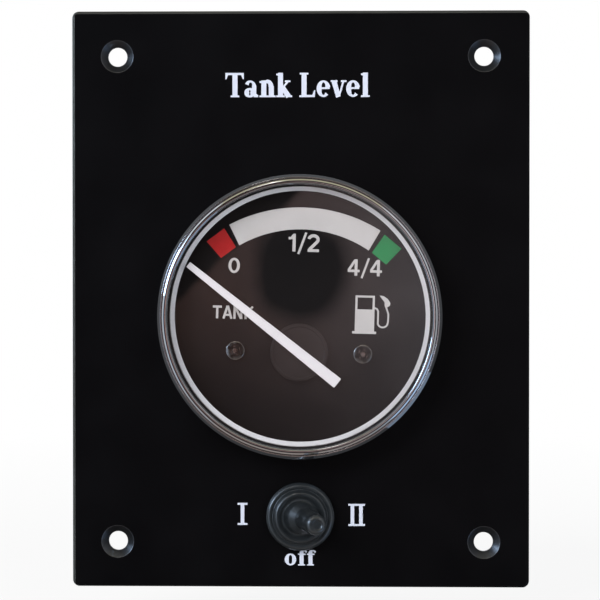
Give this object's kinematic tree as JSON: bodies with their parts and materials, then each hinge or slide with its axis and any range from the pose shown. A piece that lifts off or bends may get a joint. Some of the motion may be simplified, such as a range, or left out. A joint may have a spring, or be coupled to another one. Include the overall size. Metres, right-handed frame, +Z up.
{
  "type": "dual tank level indicator",
  "caption": "Black steel panel with a round chrome-ringed level gauge and a rubber-booted toggle switch that picks which of two tanks the gauge reads.",
  "frame": {"origin": "centre of the four countersunk fixing holes on the panel's rear face", "axes": "+X to the right as the viewer faces the dial, +Y through the panel to the rear, +Z up"},
  "size_m": [0.096, 0.0667, 0.121],
  "materials": {
    "panel_coat": "satin black powder coat",
    "chrome": "bright chrome plate",
    "clear_glass": "flat clear glass",
    "black_rubber": "soft black rubber",
    "zinc_steel": "zinc plated steel",
    "black_steel": "black oxide",
    "dial_black": "matt black print",
    "pointer_white": "matt white paint",
    "brass": "turned brass",
    "bobbin_nylon": "natural nylon",
    "enamelled_copper": "enamelled copper winding",
    "ferrite": "sintered magnet",
    "phenolic": "moulded phenolic",
    "silver_plate": "nickel or silver plate"
  },
  "bodies": {
    "housing": {"panel": "panel_coat", "gauge_case": "zinc_steel", "bezel": "chrome", "glass": "clear_glass", "glass_gasket": "black_rubber", "spacer_ring": "black_steel", "dial": "dial_black", "dial_screw_left": "black_steel", "dial_screw_right": "black_steel", "movement_frame": "zinc_steel", "dial_pillar_left": "brass", "dial_pillar_right": "brass", "bobbin_front": "bobbin_nylon", "bobbin_rear": "bobbin_nylon", "coil_inner": "enamelled_copper", "coil_outer": "enamelled_copper", "bearing_front": "brass", "bearing_rear": "brass", "terminal_board": "phenolic", "terminal_stud_supply": "brass", "terminal_stud_sender": "brass", "terminal_stud_ground": "brass", "terminal_insulator_supply": "phenolic", "terminal_insulator_sender": "phenolic", "terminal_insulator_ground": "phenolic", "terminal_nut_supply": "brass", "terminal_nut_sender": "brass", "terminal_nut_ground": "brass", "lamp_holder": "phenolic", "lamp_bulb": "clear_glass", "clamp_bracket": "zinc_steel", "clamp_stud_left": "zinc_steel", "clamp_stud_right": "zinc_steel", "clamp_washer_left": "zinc_steel", "clamp_washer_right": "zinc_steel", "clamp_nut_left": "brass", "clamp_nut_right": "brass", "switch_bushing": "silver_plate", "lock_washer": "zinc_steel", "back_nut": "silver_plate", "boot_nut": "silver_plate", "switch_cover": "silver_plate", "switch_body": "phenolic", "switch_lug_one": "silver_plate", "switch_lug_common": "silver_plate", "switch_lug_two": "silver_plate", "toggle_pin": "zinc_steel", "switch_boot": "black_rubber"},
    "needle": {"pointer": "pointer_white", "pointer_disc": "dial_black", "spindle": "silver_plate", "magnet": "ferrite"},
    "toggle": {"toggle_lever": "silver_plate", "toggle_plunger": "bobbin_nylon", "toggle_spring": "zinc_steel"},
    "rocker": {"contact_rocker": "silver_plate"}
  },
  "joints": [
    {"name": "needle_swing", "type": "hinge", "parent": "housing", "child": "needle", "pos_m": [-0.00021, 0, -0.011], "axis": [0, 1, 0], "range_deg": [0, 100]},
    {"name": "toggle_tilt", "type": "hinge", "parent": "housing", "child": "toggle", "pos_m": [0, -0.0015, -0.0455], "axis": [0, 0, 1], "range_deg": [-26, 0], "deforming": ["switch_boot"]},
    {"name": "rocker_tip", "type": "hinge", "parent": "housing", "child": "rocker", "pos_m": [0, 0.0094, -0.0455], "axis": [0, 0, 1], "range_deg": [0, 14.2]}
  ],
  "couplings": [
    {"joint": "rocker_tip", "follows": "toggle_tilt", "ratio": -0.5384}
  ]
}
